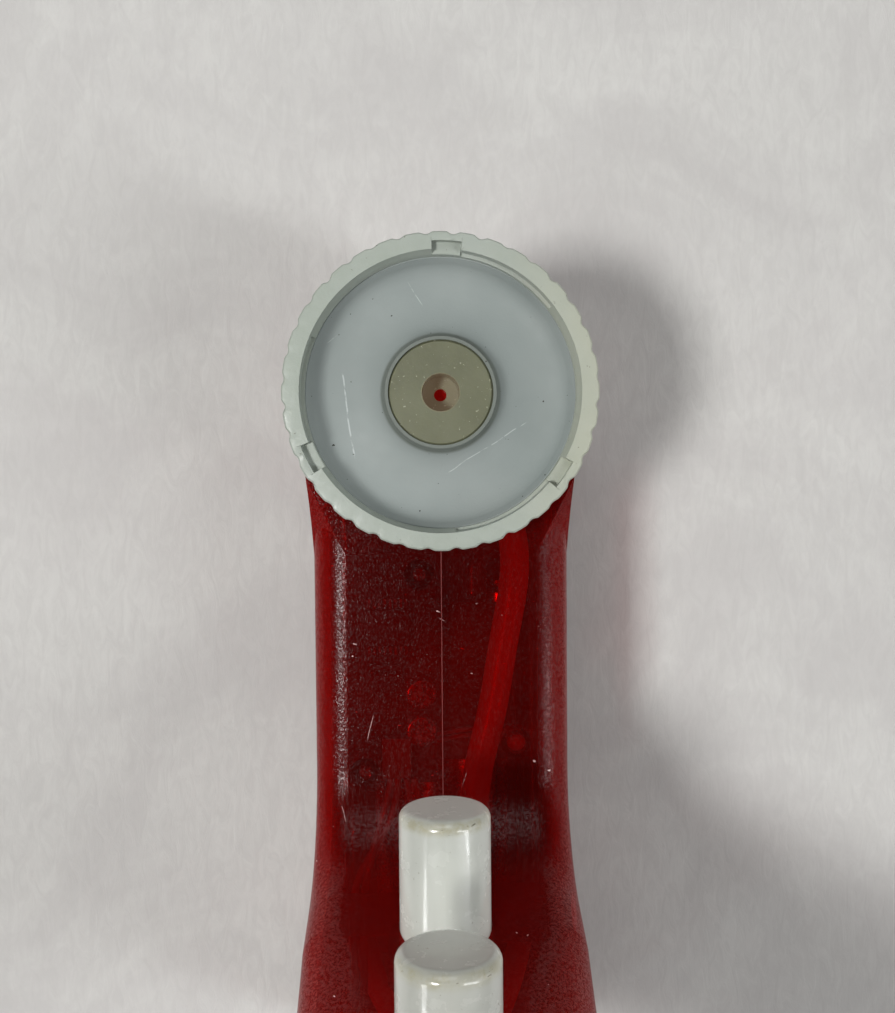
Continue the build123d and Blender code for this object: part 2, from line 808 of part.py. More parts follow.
def cell_contacts():
    end = cell_start + cell_length
    low = handle_plane(cell_start - 0.5)
    high = handle_plane(end)
    half = cell_pitch / 2
    strips = [extrude(low * (Pos(0, y) * Rectangle(20, 6)), amount=0.5) for y in (-half, half)]
    strips += [extrude(high * (Pos(x, 0) * Rectangle(6, 20)), amount=0.5) for x in (-half, half)]
    return strips


def end_cap():
    plate = handle_section(handle_length, head_width, handle_depth, 14.0, 0.05)
    body = extrude(plate, amount=cap_thickness)
    body = fillet(body.edges().group_by(Axis((0, 0, 0), handle_plane(0).z_dir))[-1], 1.2)
    plug = handle_section(cap_plug_start, head_width, handle_depth, 14.0, wall + 0.3)
    core = handle_section(cap_plug_start, head_width, handle_depth, 14.0, wall + 2.2)
    body += extrude(plug, amount=cap_plug) - extrude(core, amount=cap_plug)
    for side in (1, -1):
        x = side * cap_screw_side
        body += rod(handle_point(cap_plug_start, 0, x), handle_point(handle_length, 0, x), 2.7)
        body -= rod(handle_point(cap_plug_start - 1, 0, x), handle_point(cap_seat + 1, 0, x), 1.3)
        body -= rod(handle_point(cap_seat, 0, x), handle_point(handle_length + 4, 0, x), 2.6)
    start = handle_point(cap_plug_start - 1, jack_back)
    return body - rod(start, handle_point(handle_length + 4, jack_back), jack_radius + 0.05)


def end_cap_screws():
    way = tuple(handle_plane(0).z_dir * -1)
    seats = [handle_point(cap_seat, 0, side * cap_screw_side) for side in (1, -1)]
    return [screw(seat, way, 2.5, 1.4, cap_screw_radius, 9.0) for seat in seats]


def charge_jack():
    mouth = handle_length + 2.6
    body = rod(handle_point(mouth - 10.6, jack_back), handle_point(mouth, jack_back), jack_radius)
    bore = rod(handle_point(mouth - 9.0, jack_back), handle_point(mouth + 1, jack_back), 1.75)
    return body - bore


# ---------------------------------------------------------------- speed dial

def speed_dial():
    half = dial_width / 2
    body = rod((-half, dial_y, dial_z), (half, dial_y, dial_z), dial_radius)
    body = chamfer(body.edges(), 0.5)
    for k in range(30):
        angle = math.radians(12 * k)
        y = dial_y + (dial_radius + 0.3) * math.cos(angle)
        z = dial_z + (dial_radius + 0.3) * math.sin(angle)
        body -= rod((-half - 1, y, z), (half + 1, y, z), 0.7)
    hole = rod((-half - 1, dial_y, dial_z), (half + 1, dial_y, dial_z), dial_shaft_radius)
    return body - hole


def dial_shaft():
    return rod((-dial_width / 2, dial_y, dial_z), (9.0, dial_y, dial_z), dial_shaft_radius)


def dial_sensor():
    body = block(4.2, 10.0, dial_y - 3.8, dial_y + 2.6, dial_z - 4.0, dial_z + 4.0)
    hole_radius = dial_shaft_radius + running_gap
    return body - rod((4, dial_y, dial_z), (9.2, dial_y, dial_z), hole_radius)


# ---------------------------------------------------------------- write the parts

def save(node, shape):
    """Write one sub-part, a single shape or a list of like pieces."""
    pieces = shape if isinstance(shape, list) else [shape]
    solids = [solid for piece in pieces for solid in piece.solids()]
    export_step(solids[0] if len(solids) == 1 else Compound(solids), f"parts/{node}.step")


left, right = shell_halves()
save("left_shell", left)
save("right_shell", right)
single_parts = [
    shell_screws, knurled_ring, nose_dish, pipette_seal, nose_o_ring, nose_collar,
    filter_membrane, filter_retainer, nose_tube, vacuum_hose, pressure_hose, valve_block,
    hose_barbs, pump_head, pump_diaphragm, crank_case, wobble_plate, crank, motor_shaft,
    motor_armature, motor_magnets, motor_can, motor_end_cap, motor_terminals, pump_screws,
    circuit_board, board_screws, control_chip, chip_pins, capacitors, pin_header, wire_socket,
    lamp_lens, wires, cells, cell_holder, cell_contacts, end_cap, end_cap_screws, charge_jack,
    speed_dial, dial_shaft, dial_sensor,
]
for make in single_parts:
    save(make.__name__, make())
for name, tip, z in button_rows:
    save(f"{name}_button", press_button(tip, z))
    save(f"{name}_stem", valve_stem(tip, z))
    save(f"{name}_o_rings", stem_o_rings(tip, z))
    save(f"{name}_spring", return_spring(tip, z))
    save(f"{name}_switch", slide_switch(tip, z))
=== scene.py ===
import json
import math

import bpy
from mathutils import Matrix, Vector


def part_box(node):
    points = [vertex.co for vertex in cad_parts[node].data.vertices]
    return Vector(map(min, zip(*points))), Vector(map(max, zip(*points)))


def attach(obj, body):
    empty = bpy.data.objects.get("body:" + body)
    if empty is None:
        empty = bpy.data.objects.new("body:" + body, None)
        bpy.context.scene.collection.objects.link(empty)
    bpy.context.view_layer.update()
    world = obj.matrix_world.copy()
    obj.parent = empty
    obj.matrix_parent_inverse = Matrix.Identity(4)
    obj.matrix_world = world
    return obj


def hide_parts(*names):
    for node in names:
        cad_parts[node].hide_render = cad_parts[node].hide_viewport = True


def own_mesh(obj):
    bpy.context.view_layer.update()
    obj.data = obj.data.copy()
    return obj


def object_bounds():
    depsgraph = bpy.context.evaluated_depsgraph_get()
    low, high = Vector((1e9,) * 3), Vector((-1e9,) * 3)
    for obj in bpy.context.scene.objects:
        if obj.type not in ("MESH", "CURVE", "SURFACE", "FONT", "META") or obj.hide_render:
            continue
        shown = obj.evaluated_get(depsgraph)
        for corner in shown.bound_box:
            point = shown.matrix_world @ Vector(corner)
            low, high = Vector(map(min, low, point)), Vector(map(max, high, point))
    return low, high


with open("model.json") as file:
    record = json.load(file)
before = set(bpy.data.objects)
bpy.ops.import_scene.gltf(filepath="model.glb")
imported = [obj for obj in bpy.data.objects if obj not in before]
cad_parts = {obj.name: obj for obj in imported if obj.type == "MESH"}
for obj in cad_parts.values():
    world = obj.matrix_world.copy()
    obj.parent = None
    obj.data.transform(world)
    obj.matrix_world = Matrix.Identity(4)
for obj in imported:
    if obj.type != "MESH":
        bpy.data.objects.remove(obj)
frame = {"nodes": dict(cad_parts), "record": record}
cad_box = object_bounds()

# Lengths are in metres, as in the frame. A name that ends in _MM is in millimetres.
MM = 0.001

# The camera looks down the nosepiece axis from above its rim, a little off true.
SENSOR_MM = 36.0
LENS_MM = 37.3
CAMERA_SIDE = 1.9 * MM
CAMERA_BACK = 11.2 * MM
CAMERA_ABOVE_RIM = 151.0 * MM
CAMERA_PITCH = math.radians(2.0)
CAMERA_YAW = math.radians(1.05)
CAMERA_ROLL = math.radians(0.5)

# Places and sizes taken from the CAD nodes.
ring_low, ring_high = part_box("knurled_ring")
seal_low, seal_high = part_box("pipette_seal")
rim_z = ring_high.z
ring_radius_mm = (ring_high.x - ring_low.x) / 2 / MM
seal_radius_mm = (seal_high.x - seal_low.x) / 2 / MM
shell_flat_z = ring_low.z - 0.5 * MM

# The knurled ring: flutes outside, three notches inside, and a ledge behind each notch. Angles in degrees.
FLUTES = 36
STEPS_PER_FLUTE = 20
FLUTE_DEPTH_MM = 0.34
FLUTE_START = 5.0
FLUTE_SHARPNESS = 1.3
NOTCH_ANGLES = (-92.7, 145.9, 26.4)
NOTCH_HALF = 5.85
NOTCH_DEPTH_MM = 1.5
LEDGE_SPAN = 50.0
CORNER_STEP = 0.12
CORNER_CLEARANCE = 0.2
NOTCH_RADIUS_MM = 21.6
RIM_BORE_MM = 20.35
DISH_BORE_MM = 19.85
SKIRT_BORE_MM = 19.2
UNDERCUT_RADIUS_MM = 21.0
UNDERCUT_LOW_MM = -5.2
UNDERCUT_HIGH_MM = -1.5

# The line where the shell halves meet.
SEAM_HALF_WIDTH = 0.09 * MM
SEAM_HEIGHT = 0.05 * MM
SEAM_STEP = 0.8 * MM
SEAM_END = 14 * MM

# The button springs.
SPRING_TURNS = 9
WIRE_RADIUS = 0.4 * MM
STEPS_PER_TURN = 24
WIRE_SIDES = 8

# Half the side of the square sheet that the part lies on.
FLOOR_HALF = 1.2

# Strength of the light from all round, of the dark patch overhead, and of the backdrop in the picture.
AIR_STRENGTH = 0.12
OVERHEAD_STRENGTH = 0.02
BACKDROP_STRENGTH = 0.55
KEY_WHITE = (1.0, 0.995, 0.98)
WINDOW_WHITE = (0.98, 0.99, 1.0)
LAMP_WHITE = (1.0, 1.0, 1.0)
WALL_WHITE = (1.0, 1.0, 0.99)

# 8-bit screen colours. The dispense button is the darker of the two.
ASPIRATE_BUTTON_WHITE = (194, 197, 190)
DISPENSE_BUTTON_WHITE = (180, 182, 175)

# Scratches as start, end and width in millimetres, on the plane seen along the nosepiece axis.
SHELL_SCRATCHES = (
    ((11.0, 50.0), (12.0, 54.6), 0.1),
    ((-3.8, 59.0), (-2.9, 61.8), 0.08),
    ((16.2, 63.5), (15.0, 67.0), 0.1),
    ((6.6, 35.5), (6.5, 36.6), 0.12),
    ((0.4, 34.6), (-1.2, 35.6), 0.12),
)
# The dish's first line, along the foot of its left wall, is partly a scratch and partly a painted highlight.
DISH_SCRATCHES = (
    ((14.6, -3.8), (12.9, 9.8), 0.16),
    ((-1.0, 11.6), (-13.2, 4.0), 0.09),
    ((2.6, -13.5), (5.0, -17.2), 0.09),
    ((15.5, -8.6), (17.0, -7.4), 0.1),
)


# ------------------------------------------------------------ material graphs

class Tree:
    """Short calls for the usual nodes of a node tree."""

    def __init__(self, tree):
        self.tree = tree

    def new(self, kind):
        return self.tree.nodes.new(kind)

    def join(self, output, socket):
        self.tree.links.new(output, socket)

    def feed(self, socket, value):
        """Sets a socket from another node's output, a colour or a plain value."""
        if isinstance(value, bpy.types.NodeSocket):
            self.join(value, socket)
        elif isinstance(value, tuple) and len(value) == 3 and socket.type == "RGBA":
            socket.default_value = (*value, 1.0)
        else:
            socket.default_value = value

    def ramp(self, value, low, high, start=0.0, end=1.0):
        """Runs smoothly from start to end as value runs from low to high."""
        node = self.new("ShaderNodeMapRange")
        node.interpolation_type = "SMOOTHSTEP"
        self.feed(node.inputs["Value"], value)
        node.inputs["From Min"].default_value = low
        node.inputs["From Max"].default_value = high
        node.inputs["To Min"].default_value = start
        node.inputs["To Max"].default_value = end
        return node.outputs["Result"]

    def combine(self, operation, a, b=0.0):
        """Works out one of the math node's operations on two values."""
        node = self.new("ShaderNodeMath")
        node.operation = operation
        self.feed(node.inputs[0], a)
        self.feed(node.inputs[1], b)
        return node.outputs[0]

    def times(self, a, b):
        return self.combine("MULTIPLY", a, b)


class Graph(Tree):
    """A material with one Principled shader."""

    def __init__(self, name, roughness=0.5, metallic=0.0, coat=0.0):
        self.material = bpy.data.materials.new(name)
        self.material.use_nodes = True
        super().__init__(self.material.node_tree)
        self.tree.nodes.clear()
        self.shader = self.new("ShaderNodeBsdfPrincipled")
        self.output = self.new("ShaderNodeOutputMaterial")
        self.join(self.shader.outputs[0], self.output.inputs["Surface"])
        self.place = self.new("ShaderNodeTexCoord").outputs["Object"]
        self.put("Roughness", roughness)
        self.put("Metallic", metallic)
        self.put("Coat Weight", coat)

    def put(self, name, value):
        """Feeds one of the shader's inputs."""
        self.feed(self.shader.inputs[name], value)

    def noise(self, scale, detail=3.0, rough=0.5, distortion=0.0, place=None):
        node = self.new("ShaderNodeTexNoise")
        self.join(place or self.place, node.inputs["Vector"])
        node.inputs["Scale"].default_value = scale
        node.inputs["Detail"].default_value = detail
        node.inputs["Roughness"].default_value = rough
        node.inputs["Distortion"].default_value = distortion
        return node.outputs["Fac"]

    def stretch(self, x, y, z, turn=0.0):
        """The object's coordinates, scaled along each axis and turned about Z."""
        node = self.new("ShaderNodeMapping")
        self.join(self.place, node.inputs["Vector"])
        node.inputs["Scale"].default_value = (x, y, z)
        node.inputs["Rotation"].default_value = (0, 0, turn)
        return node.outputs[0]

    def blend(self, amount, a, b):
        """Colour a where amount is 0 and colour b where it is 1."""
        node = self.new("ShaderNodeMix")
        node.data_type = "RGBA"
        self.feed(node.inputs[0], amount)
        self.feed(node.inputs[6], a)
        self.feed(node.inputs[7], b)
        return node.outputs[2]

    def drift(self, scale, detail, rough):
        """Broad soft patches from 0 to 1."""
        return self.ramp(self.noise(scale, detail, rough), 0.3, 0.7)

    def vary(self, name, scale, detail, low, high):
        """Feeds a shader input with noise that runs from low to high."""
        self.put(name, self.ramp(self.noise(scale, detail), 0.3, 0.7, low, high))

    def axes(self):
        node = self.new("ShaderNodeSeparateXYZ")
        self.join(self.place, node.inputs[0])
        return node.outputs

    def facing(self):
        """0 where the surface looks at the camera, rising towards its outline."""
        node = self.new("ShaderNodeLayerWeight")
        node.inputs["Blend"].default_value = 0.4
        return node.outputs["Facing"]

    def bump(self, height, distance):
        node = self.new("ShaderNodeBump")
        node.inputs["Distance"].default_value = distance
        self.feed(node.inputs["Height"], height)
        self.put("Normal", node.outputs[0])


def srgb(r, g, b):
    """Linear colour from an 8-bit screen colour."""
    def linear(v):
        v /= 255.0
        return v / 12.92 if v <= 0.04045 else ((v + 0.055) / 1.055) ** 2.4
    return (linear(r), linear(g), linear(b))


def from_axis(g):
    """Distance from the nosepiece axis, in millimetres."""
    x, y, _ = g.axes()
    radius = g.combine("SQRT", g.combine("ADD", g.times(x, x), g.times(y, y)))
    return g.times(radius, 1 / MM)


def stroke(g, start, end, width):
    """1 along a fine, slightly wavy, broken scratch between two points in millimetres, seen along Z."""
    x, y, _ = g.axes()
    run = Vector((end[0] - start[0], end[1] - start[1]))
    length = run.length
    run.normalize()
    across = Vector((-run.y, run.x))
    px = g.combine("SUBTRACT", g.times(x, 1 / MM), start[0])
    py = g.combine("SUBTRACT", g.times(y, 1 / MM), start[1])
    wobble = g.times(g.combine("SUBTRACT", g.noise(160, 2), 0.5), 0.9)
    along = g.combine("ADD", g.times(px, run.x), g.times(py, run.y))
    side = g.combine("ADD", g.times(px, across.x), g.times(py, across.y))
    near = g.ramp(g.combine("ABSOLUTE", g.combine("ADD", side, wobble)), width, width * 0.3)
    ends = g.times(g.ramp(along, -0.5, 0.5), g.ramp(along, length, length - 1.5))
    broken = g.ramp(g.noise(900, 2), 0.35, 0.55)
    return g.times(near, g.times(ends, broken))


def see_through(g, tint, clear_in_front, clear_at_outline, marks=0.0):
    """Lets a share of the light straight through, and none where the surface is marked."""
    clear = g.new("ShaderNodeBsdfTransparent")
    g.feed(clear.inputs["Color"], tint)
    solid = g.ramp(g.facing(), 0.0, 1.0, 1.0 - clear_in_front, 1.0 - clear_at_outline)
    solid = g.combine("MAXIMUM", solid, marks)
    mix = g.new("ShaderNodeMixShader")
    g.join(solid, mix.inputs[0])
    g.join(clear.outputs[0], mix.inputs[1])
    g.join(g.shader.outputs[0], mix.inputs[2])
    g.join(mix.outputs[0], g.output.inputs["Surface"])


def moulded(name, base, tone, roughness=0.5, grain=0.02 * MM, coat=0.0):
    """Moulded plastic: slow colour drift and a fine grain."""
    g = Graph(name, roughness, coat=coat)
    g.put("Base Color", g.blend(g.drift(60, 4, 0.6), base, tone))
    g.vary("Roughness", 900, 3, roughness - 0.07, roughness + 0.08)
    g.bump(g.noise(2600, 3, 0.6), grain)
    return g


def metal(name, base, tone, roughness):
    """Turned or drawn metal with fine marks."""
    g = Graph(name, roughness, metallic=1.0)
    marks = g.noise(1500, 4, 0.6)
    g.put("Base Color", g.blend(g.ramp(marks, 0.3, 0.7), base, tone))
    g.put("Roughness", g.ramp(marks, 0.3, 0.7, roughness - 0.08, roughness + 0.12))
    g.bump(marks, 0.008 * MM)
    return g.material


def shell_marks(g):
    """White nicks all over the shell, and the longer scratches on the flat side round the nose."""
    marks = g.ramp(g.noise(430, 2, 0.5, 0.6, g.stretch(1.0, 2.6, 1.0, 0.5)), 0.76, 0.785)
    z = g.axes()[2]
    on_flat = g.ramp(z, shell_flat_z - 0.6 * MM, shell_flat_z - 0.3 * MM)
    for start, end, width in SHELL_SCRATCHES:
        scratch = g.times(stroke(g, start, end, width), on_flat)
        marks = g.combine("MAXIMUM", marks, g.times(scratch, 0.8))
    return marks


def shell_red():
    """Translucent deep red shell with a sparkling matt grain and marks. A painted brighter red towards the
    outline stands for light scattered in the side walls, and the pale specks are partly dust, partly painted
    sheen.
    """
    g = Graph("shell_red")
    colour = g.blend(g.drift(45, 3, 0.5), srgb(92, 4, 1), srgb(112, 8, 3))
    # Painted light: the red turns brighter towards the outline, standing for light scattered in the side
    # walls.
    side = g.ramp(g.facing(), 0.02, 0.2)
    colour = g.blend(side, colour, srgb(140, 15, 10))
    # Pale grey-pink specks: partly dust, partly a painted sheen on the matt grain.
    dust = g.ramp(g.noise(2600, 3, 0.7), 0.6, 0.76, 0.0, 0.14)
    colour = g.blend(dust, colour, srgb(140, 60, 56))
    marks = shell_marks(g)
    g.put("Base Color", g.blend(marks, colour, srgb(205, 170, 168)))
    g.vary("Roughness", 1500, 3, 0.18, 0.25)
    g.put("Specular IOR Level", g.ramp(g.noise(2600, 2, 0.6), 0.42, 0.58, 0.12, 0.8))
    g.bump(g.noise(2800, 2, 0.6), 0.06 * MM)
    see_through(g, srgb(228, 46, 8), 0.74, 0.25, marks)
    return g.material


def seam_red():
    """The paler line where the shell halves meet."""
    return moulded("seam_red", srgb(122, 44, 42), srgb(96, 24, 22), 0.4).material


def collar_red():
    """Clear bright red plastic. A faint glow stands for light scattered inside it."""
    g = moulded("collar_red", srgb(190, 12, 4), srgb(160, 8, 4), 0.25, coat=0.4)
    g.put("Emission Color", srgb(230, 20, 6))
    g.put("Emission Strength", 0.1)
    see_through(g, srgb(250, 70, 50), 0.35, 0.1)
    return g.material


def ring_plastic():
    """Pale grey-green ring, yellowing to one side, with dark specks."""
    g = Graph("ring_plastic", 0.42)
    colour = g.blend(g.drift(70, 4, 0.6), srgb(163, 170, 162), srgb(155, 163, 153))
    uneven_x = g.combine("ADD", g.axes()[0], g.times(g.noise(120, 3), 10 * MM))
    aged = g.ramp(uneven_x, 0.0, -22 * MM)
    colour = g.blend(g.times(aged, 0.6), colour, srgb(181, 181, 160))
    specks = g.ramp(g.noise(1300, 2, 0.6), 0.69, 0.76, 0.0, 0.7)
    g.put("Base Color", g.blend(specks, colour, srgb(92, 88, 74)))
    g.put("Subsurface Weight", 0.15)
    g.put("Subsurface Radius", (2.0 * MM, 2.0 * MM, 1.6 * MM))
    g.vary("Roughness", 700, 4, 0.35, 0.55)
    g.bump(g.noise(1800, 4, 0.65), 0.04 * MM)
    return g.material


def dish_plastic():
    """Blue-grey moulded dish with painted shade darkening the lip round the seal, specks and a few long
    scratches.
    """
    g = Graph("dish_plastic")
    colour = g.blend(g.drift(55, 3, 0.5), srgb(149, 156, 154), srgb(140, 148, 146))
    # Painted shade: the lip round the seal is darkened so that it does not catch the light.
    shaded_lip = g.ramp(from_axis(g), seal_radius_mm + 1.4, seal_radius_mm + 0.9)
    colour = g.blend(shaded_lip, colour, srgb(112, 118, 112))
    # Pale scratches; the first one is partly a painted highlight.
    for start, end, width in DISH_SCRATCHES:
        scratch = g.times(stroke(g, start, end, width), 0.5)
        colour = g.blend(scratch, colour, srgb(214, 220, 220))
    specks = g.ramp(g.noise(1300, 1, 0.5), 0.775, 0.79)
    g.put("Base Color", g.blend(specks, colour, srgb(58, 58, 54)))
    g.put("Subsurface Weight", 0.1)
    g.put("Subsurface Radius", (2 * MM, 2 * MM, 2 * MM))
    g.vary("Roughness", 500, 4, 0.55, 0.7)
    g.put("Specular IOR Level", 0.3)
    g.bump(g.noise(1500, 4, 0.6), 0.03 * MM)
    return g.material


def silicone():
    """Dusty olive-ivory silicone. A faint glow in the bore stands for light scattered inside it."""
    g = Graph("silicone", 0.45)
    colour = g.blend(g.drift(110, 4, 0.6), srgb(109, 111, 88), srgb(99, 101, 79))
    dust = g.ramp(g.noise(1600, 2, 0.6), 0.66, 0.74, 0.0, 0.6)
    g.put("Base Color", g.blend(dust, colour, srgb(186, 187, 165)))
    g.put("Subsurface Weight", 0.35)
    g.put("Subsurface Radius", (4 * MM, 4 * MM, 2 * MM))
    g.put("Emission Color", srgb(150, 124, 100))
    g.put("Emission Strength", g.ramp(from_axis(g), 3.0, 2.6, 0.0, 0.26))
    g.bump(g.noise(1400, 3, 0.6), 0.03 * MM)
    return g.material


def button_plastic(name):
    """Glossy white button with hand wear, grime round the edge of its tip, and a painted glow along its
    outlines for bounced light and light scattered in the plastic.
    """
    g = Graph(name + "_plastic", 0.2, coat=0.3)
    tip_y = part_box(name)[0].y
    y = g.axes()[1]
    # The dispense button takes the darker white.
    pale = DISPENSE_BUTTON_WHITE if name == "dispense_button" else ASPIRATE_BUTTON_WHITE
    duller = (0.95 * v for v in pale)
    colour = g.blend(g.drift(80, 3, 0.5), srgb(*pale), srgb(*duller))
    behind_face = g.ramp(y, tip_y, tip_y + 0.5 * MM)
    before_side = g.ramp(y, tip_y + 2.4 * MM, tip_y + 1.2 * MM)
    rim = g.times(behind_face, before_side)
    blotches = g.ramp(g.noise(420, 4, 0.7), 0.36, 0.62, 0.35, 0.95)
    colour = g.blend(g.times(rim, blotches), colour, srgb(166, 163, 142))
    marks = g.ramp(g.noise(700, 3, 0.6, place=g.stretch(1.0, 3.0, 1.0)), 0.66, 0.72, 0.0, 0.8)
    colour = g.blend(g.times(rim, marks), colour, srgb(92, 84, 66))
    specks = g.ramp(g.noise(1500, 2, 0.6), 0.7, 0.78, 0.0, 0.6)
    g.put("Base Color", g.blend(specks, colour, srgb(118, 108, 88)))
    g.put("Subsurface Weight", 0.5)
    g.put("Subsurface Radius", (5 * MM, 5 * MM, 5 * MM))
    # Painted light: a faint glow growing towards the outlines stands for bounced light and light scattered
    # in the plastic.
    g.put("Emission Color", srgb(206, 206, 200))
    g.put("Emission Strength", g.ramp(g.facing(), 0.2, 0.7, 0.02, 0.2))
    g.vary("Roughness", 400, 4, 0.14, 0.3)
    g.bump(g.noise(900, 3, 0.6), 0.012 * MM)
    return g.material


def board_green():
    """Glass-fibre board: dark green lacquer with tracks and a weave."""
    g = Graph("board_green", 0.35, coat=0.3)
    weave = g.new("ShaderNodeTexChecker")
    g.join(g.place, weave.inputs["Vector"])
    weave.inputs["Scale"].default_value = 1400
    tracks = g.new("ShaderNodeTexBrick")
    g.join(g.place, tracks.inputs["Vector"])
    tracks.inputs["Scale"].default_value = 260
    tracks.inputs["Mortar Size"].default_value = 0.03
    lacquer = g.blend(g.drift(300, 3.0, 0.5), srgb(16, 70, 40), srgb(22, 84, 50))
    g.put("Base Color", g.blend(tracks.outputs["Fac"], lacquer, srgb(56, 100, 52)))
    g.bump(weave.outputs["Fac"], 0.01 * MM)
    return g.material


def soft_hose():
    """Pale soft hose, slightly clear, with painted shade darkening it where it runs deep inside the shell
    and a faint painted glow where it runs nearer the rim.
    """
    g = Graph("soft_hose", 0.3, coat=0.2)
    # Painted shade: darker deep inside the shell, where less light reaches; paler nearer the rim.
    near = g.ramp(g.axes()[2], rim_z - 30 * MM, rim_z - 20 * MM)
    pale = g.blend(g.drift(60, 4, 0.6), srgb(240, 215, 200), srgb(226, 200, 186))
    g.put("Base Color", g.blend(near, srgb(96, 80, 70), pale))
    g.bump(g.noise(2600, 3, 0.6), 0.02 * MM)
    # Painted light: the glow stands for light reaching the hose through the shell.
    g.put("Emission Color", srgb(255, 200, 180))
    g.put("Emission Strength", g.times(near, 0.07))
    see_through(g, srgb(250, 240, 235), 0.3, 0.05)
    return g.material


def amber_lens():
    """Cap of the small indicator lamp, faintly lit."""
    g = moulded("amber_lens", srgb(190, 96, 16), srgb(170, 76, 10), 0.15, coat=0.5)
    g.put("Emission Color", srgb(255, 120, 10))
    g.put("Emission Strength", 0.04)
    return g.material


def inner_plastics():
    """The plain mouldings, rubber and wraps inside the shell, as base, tone, roughness, grain and coat."""
    looks = {
        "white_plastic": (srgb(132, 128, 118), srgb(120, 116, 106), 0.5, 0.02 * MM, 0.0),
        "black_plastic": (srgb(34, 34, 36), srgb(46, 46, 48), 0.45, 0.02 * MM, 0.0),
        "rubber": (srgb(22, 22, 23), srgb(34, 34, 34), 0.7, 0.05 * MM, 0.0),
        "membrane": (srgb(240, 240, 236), srgb(228, 228, 222), 0.8, 0.08 * MM, 0.0),
        "wire": (srgb(170, 24, 18), srgb(140, 16, 12), 0.4, 0.02 * MM, 0.2),
        "cell_wrap": (srgb(52, 110, 74), srgb(40, 92, 60), 0.25, 0.02 * MM, 0.5),
    }
    return {slot: moulded(slot + "_look", *look).material for slot, look in looks.items()}


def metals():
    """Metals as base, tone and roughness."""
    looks = {
        "valve_metal": (srgb(200, 202, 205), srgb(178, 180, 184), 0.3),
        "aluminium": (srgb(215, 216, 220), srgb(190, 192, 196), 0.25),
        "steel": (srgb(190, 190, 192), srgb(160, 160, 164), 0.25),
        "iron": (srgb(90, 90, 94), srgb(64, 64, 68), 0.5),
        "brass": (srgb(212, 176, 96), srgb(190, 150, 74), 0.28),
    }
    return {slot: metal(slot + "_look", *look) for slot, look in looks.items()}


def by_slot():
    """One material for each slot in the record, apart from the buttons' own."""
    return {
        "shell": shell_red(),
        "collar": collar_red(),
        "ring_plastic": ring_plastic(),
        "dish_plastic": dish_plastic(),
        "silicone": silicone(),
        "hose": soft_hose(),
        "board": board_green(),
        "amber": amber_lens(),
        **inner_plastics(),
        **metals(),
    }


def dress_nodes(materials):
    """Gives every CAD node the material of its slot."""
    for part in frame["record"]["subparts"]:
        name = part["node"]
        slot = part["material_slot"]
        look = button_plastic(name) if slot == "button_plastic" else materials[slot]
        node_materials = frame["nodes"][name].data.materials
        node_materials.clear()
        node_materials.append(look)


# ------------------------------------------------------------ visual pieces

def add_piece(name, vertices, faces, material, body, smooth_angle=30.0):
    """A mesh in the frame's coordinates that rides on a body."""
    mesh = bpy.data.meshes.new(name)
    mesh.from_pydata(vertices, [], faces)
    mesh.materials.append(material)
    piece = bpy.data.objects.new(name, mesh)
    bpy.context.scene.collection.objects.link(piece)
    bpy.context.view_layer.objects.active = piece
    piece.select_set(True)
    bpy.ops.object.shade_smooth_by_angle(angle=math.radians(smooth_angle))
    piece.select_set(False)
    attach(piece, body)
    return piece


def skin(columns, rows, closed=False):
    """Quads joining closed sections of points. The last section joins the first, or both ends are capped."""
    faces = []
    for i in range(columns if closed else columns - 1):
        j = (i + 1) % columns
        for k in range(rows):
            m = (k + 1) % rows
            faces.append((i * rows + k, i * rows + m, j * rows + m, j * rows + k))
    if not closed:
        faces.append(tuple(reversed(range(rows))))
        faces.append(tuple(range((columns - 1) * rows, columns * rows)))
    return faces


def angle_gap(a, b):
    """Signed difference between two angles in degrees, from -180 to 180."""
    return (a - b + 180.0) % 360.0 - 180.0


def ring_angles():
    """Even steps round the ring, with a tight pair at each side of every notch and ledge end."""
    count = FLUTES * STEPS_PER_FLUTE
    even = [k * 360.0 / count for k in range(count)]
    corners = [n + s * NOTCH_HALF for n in NOTCH_ANGLES for s in (-1, 1)]
    corners += [n - LEDGE_SPAN for n in NOTCH_ANGLES]
    pairs = [(a + d) % 360.0 for a in corners for d in (-CORNER_STEP, CORNER_STEP)]
    clear = [a for a in even if min(abs(angle_gap(a, b)) for b in pairs) > CORNER_CLEARANCE]
    return sorted(clear + pairs)


def flute_depth(angle):
    """How far the knurl cuts in at one angle, in millimetres: a little uneven, as on a worn mould."""
    phase = math.radians((angle + FLUTE_START) * FLUTES)
    slow = 0.06 * math.sin(math.radians(angle * 7 + 40))
    quick = 0.05 * math.sin(math.radians(angle * 23))
    return (FLUTE_DEPTH_MM + slow + quick) * max(0.0, math.cos(phase)) ** FLUTE_SHARPNESS


def ring_bore(angle, top):
    """The ring's inner wall from the rim down: a notch, the ledge behind it, or the plain wall."""
    floor = top - NOTCH_DEPTH_MM
    gaps = [angle_gap(angle, n) for n in NOTCH_ANGLES]
    if any(abs(gap) < NOTCH_HALF for gap in gaps):
        return [
            (NOTCH_RADIUS_MM, top - 0.12),
            (NOTCH_RADIUS_MM, floor + 0.1),
            (NOTCH_RADIUS_MM - 0.1, floor),
            (DISH_BORE_MM + 0.15, floor),
            (DISH_BORE_MM, floor - 0.1),
        ]
    if any(-LEDGE_SPAN < gap < -NOTCH_HALF for gap in gaps):
        return [
            (RIM_BORE_MM, top),
            (RIM_BORE_MM - 0.15, floor + 0.25),
            (RIM_BORE_MM + 0.1, floor - 0.1),
            (RIM_BORE_MM + 0.1, floor - 0.5),
            (DISH_BORE_MM, floor - 0.6),
        ]
    return [
        (RIM_BORE_MM, top),
        (RIM_BORE_MM - 0.1, top - 0.6),
        (DISH_BORE_MM + 0.2, top - 1.2),
        (DISH_BORE_MM + 0.1, floor - 0.1),
        (DISH_BORE_MM, floor - 0.5),
    ]


